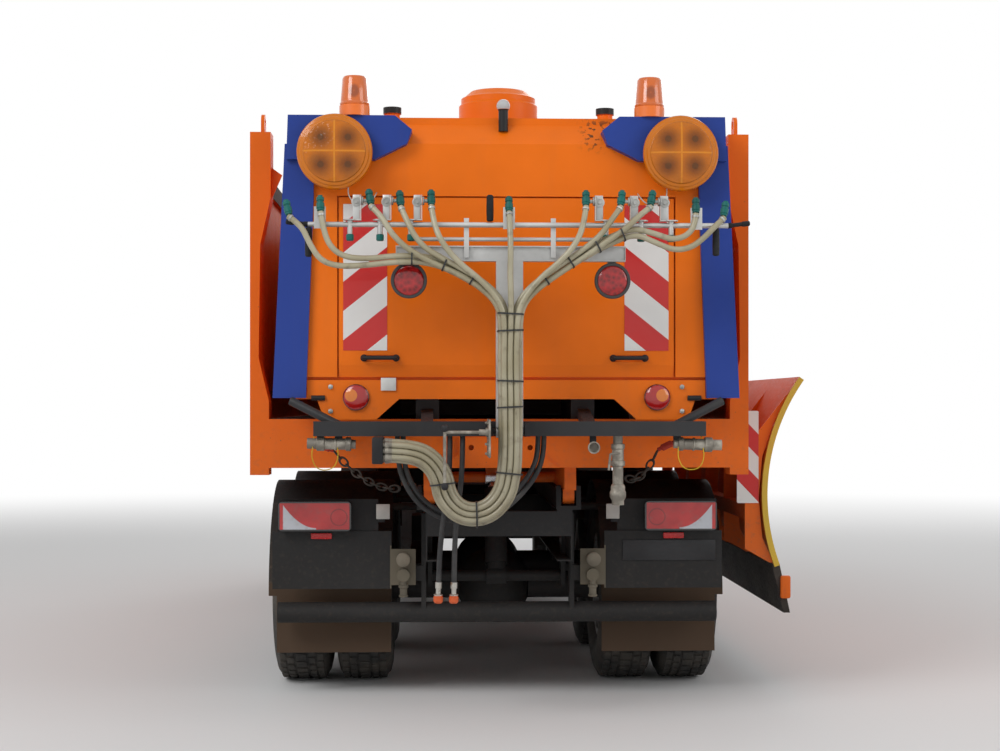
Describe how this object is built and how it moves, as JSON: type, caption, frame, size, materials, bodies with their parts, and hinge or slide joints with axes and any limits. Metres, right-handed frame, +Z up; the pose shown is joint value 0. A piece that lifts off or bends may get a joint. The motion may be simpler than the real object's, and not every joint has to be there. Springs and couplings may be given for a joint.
{
  "type": "winter road maintenance truck",
  "caption": "cab-over tipper truck with a de-icing tank unit in its bed, a folding rear spray boom, warning lamps and a side wing plough",
  "frame": {"origin": "on the ground under the middle of the overall length, on the truck's centre line", "axes": "X to the truck's right, Y forward, Z up"},
  "size_m": [3.244, 8.37, 3.275],
  "materials": {
    "orange_paint": "gloss paint",
    "blue_paint": "gloss paint",
    "chassis_black": "satin paint",
    "tyre_rubber": "matte",
    "rim_steel": "satin paint",
    "dark_plastic": "matte",
    "seat_fabric": "woven",
    "glass": "clear",
    "clear_lens": "clear",
    "red_lens": "gloss",
    "amber_lens": "gloss",
    "tank_alloy": "brushed",
    "nozzle_plastic": "gloss",
    "marker_red": "reflective",
    "marker_yellow": "satin",
    "roof_orange": "gloss",
    "chrome_rod": "polished"
  },
  "bodies": {
    "chassis": {"chassis_frame": "chassis_black", "powertrain": "chassis_black", "front_axle": "chassis_black", "driven_axles": "chassis_black", "leaf_springs": "chassis_black", "mudguards": "dark_plastic", "rear_carrier": "chassis_black", "tail_lamps": "red_lens", "fuel_tank": "tank_alloy", "side_boxes": "chassis_black", "cab_shell": "orange_paint", "windscreen": "glass", "dashboard": "dark_plastic", "seats": "seat_fabric", "front_trim": "dark_plastic", "headlamps": "clear_lens", "mirrors": "dark_plastic", "wing_mast": "chassis_black"},
    "steer_left": {"knuckle_left": "chassis_black"},
    "steer_right": {"knuckle_right": "chassis_black"},
    "door_left": {"door_left": "orange_paint", "door_glass_left": "glass"},
    "door_right": {"door_right": "orange_paint", "door_glass_right": "glass"},
    "bed": {"bed_body": "orange_paint", "bed_walls": "orange_paint", "bed_rear_frame": "orange_paint", "unit_housing": "orange_paint", "unit_hatch": "orange_paint", "unit_columns": "blue_paint", "unit_lamps": "amber_lens", "marker_boards": "marker_red", "tank": "orange_paint", "roof_fittings": "roof_orange", "unit_base_frame": "chassis_black"},
    "hoist_barrel": {"hoist_barrel": "chassis_black"},
    "hoist_rod": {"hoist_rod": "chrome_rod"},
    "boom": {"boom_mast": "tank_alloy", "spray_bar": "tank_alloy", "boom_fittings": "nozzle_plastic"},
    "wing_slide": {"wing_carrier": "chassis_black"},
    "wing": {"mouldboard": "orange_paint", "plough_blade": "chassis_black", "plough_markers": "marker_yellow"},
    "brace_barrel": {"brace_barrel": "chassis_black"},
    "brace_rod": {"brace_rod": "chrome_rod"},
    "wheel_front_left": {"rims_front_left": "rim_steel", "tyres_front_left": "tyre_rubber"},
    "wheel_front_right": {"rims_front_right": "rim_steel", "tyres_front_right": "tyre_rubber"},
    "wheel_mid_left": {"rims_mid_left": "rim_steel", "tyres_mid_left": "tyre_rubber"},
    "wheel_mid_right": {"rims_mid_right": "rim_steel", "tyres_mid_right": "tyre_rubber"},
    "wheel_rear_left": {"rims_rear_left": "rim_steel", "tyres_rear_left": "tyre_rubber"},
    "wheel_rear_right": {"rims_rear_right": "rim_steel", "tyres_rear_right": "tyre_rubber"}
  },
  "joints": [
    {"name": "wheel_front_left_spin", "type": "hinge", "parent": "steer_left", "child": "wheel_front_left", "pos_m": [-1.02, 2.6, 0.538], "axis": [-1, 0, 0], "continuous": true},
    {"name": "wheel_front_right_spin", "type": "hinge", "parent": "steer_right", "child": "wheel_front_right", "pos_m": [1.02, 2.6, 0.538], "axis": [-1, 0, 0], "continuous": true},
    {"name": "wheel_mid_left_spin", "type": "hinge", "parent": "chassis", "child": "wheel_mid_left", "pos_m": [-0.91, -1, 0.538], "axis": [-1, 0, 0], "continuous": true},
    {"name": "wheel_mid_right_spin", "type": "hinge", "parent": "chassis", "child": "wheel_mid_right", "pos_m": [0.91, -1, 0.538], "axis": [-1, 0, 0], "continuous": true},
    {"name": "wheel_rear_left_spin", "type": "hinge", "parent": "chassis", "child": "wheel_rear_left", "pos_m": [-0.91, -2.35, 0.538], "axis": [-1, 0, 0], "continuous": true},
    {"name": "wheel_rear_right_spin", "type": "hinge", "parent": "chassis", "child": "wheel_rear_right", "pos_m": [0.91, -2.35, 0.538], "axis": [-1, 0, 0], "continuous": true},
    {"name": "steer_left", "type": "hinge", "parent": "chassis", "child": "steer_left", "pos_m": [-0.84, 2.6, 0.538], "axis": [0, 0, 1], "range_deg": [-38, 38]},
    {"name": "door_left_hinge", "type": "hinge", "parent": "chassis", "child": "door_left", "pos_m": [-1.155, 3.883, 1.95], "axis": [0, 0, -1], "range_deg": [0, 75]},
    {"name": "steer_right", "type": "hinge", "parent": "chassis", "child": "steer_right", "pos_m": [0.84, 2.6, 0.538], "axis": [0, 0, 1], "range_deg": [-38, 38]},
    {"name": "door_right_hinge", "type": "hinge", "parent": "chassis", "child": "door_right", "pos_m": [1.155, 3.883, 1.95], "axis": [0, 0, 1], "range_deg": [0, 75]},
    {"name": "bed_tip", "type": "hinge", "parent": "chassis", "child": "bed", "pos_m": [0, -3.31, 1.11], "axis": [1, 0, 0], "range_deg": [0, 50]},
    {"name": "hoist_tilt", "type": "hinge", "parent": "chassis", "child": "hoist_barrel", "pos_m": [0, -2.9, 0.64], "axis": [1, 0, 0], "range_deg": [0, 24]},
    {"name": "hoist_extend", "type": "slide", "parent": "hoist_barrel", "child": "hoist_rod", "axis": [0, 0.3205, 0.9473], "range_m": [0, 0.405]},
    {"name": "boom_fold", "type": "hinge", "parent": "bed", "child": "boom", "pos_m": [0.02, -4.06, 1.452], "axis": [-1, 0, 0], "range_deg": [-180, 0]},
    {"name": "wing_lift", "type": "slide", "parent": "chassis", "child": "wing_slide", "axis": [0, 0, -1], "range_m": [0, 0.446]},
    {"name": "wing_swing", "type": "hinge", "parent": "wing_slide", "child": "wing", "pos_m": [1.24, 0.42, 0.94], "axis": [0, 0, 1], "range_deg": [0, 40]},
    {"name": "brace_turn", "type": "hinge", "parent": "wing_slide", "child": "brace_barrel", "pos_m": [1.19, 0.25, 0.88], "axis": [0, 0, 1], "range_deg": [0, 46]},
    {"name": "brace_extend", "type": "slide", "parent": "brace_barrel", "child": "brace_rod", "axis": [0.1585, -0.9874, 0], "range_m": [0, 0.09]}
  ],
  "couplings": [
    {"joint": "steer_right", "follows": "steer_left", "ratio": 1},
    {"joint": "hoist_tilt", "follows": "bed_tip", "ratio": 0.4709},
    {"joint": "hoist_extend", "follows": "bed_tip", "m_per_rad": 0.4618},
    {"joint": "brace_turn", "follows": "wing_swing", "ratio": 1.1451},
    {"joint": "brace_extend", "follows": "wing_swing", "m_per_rad": 0.1263}
  ]
}
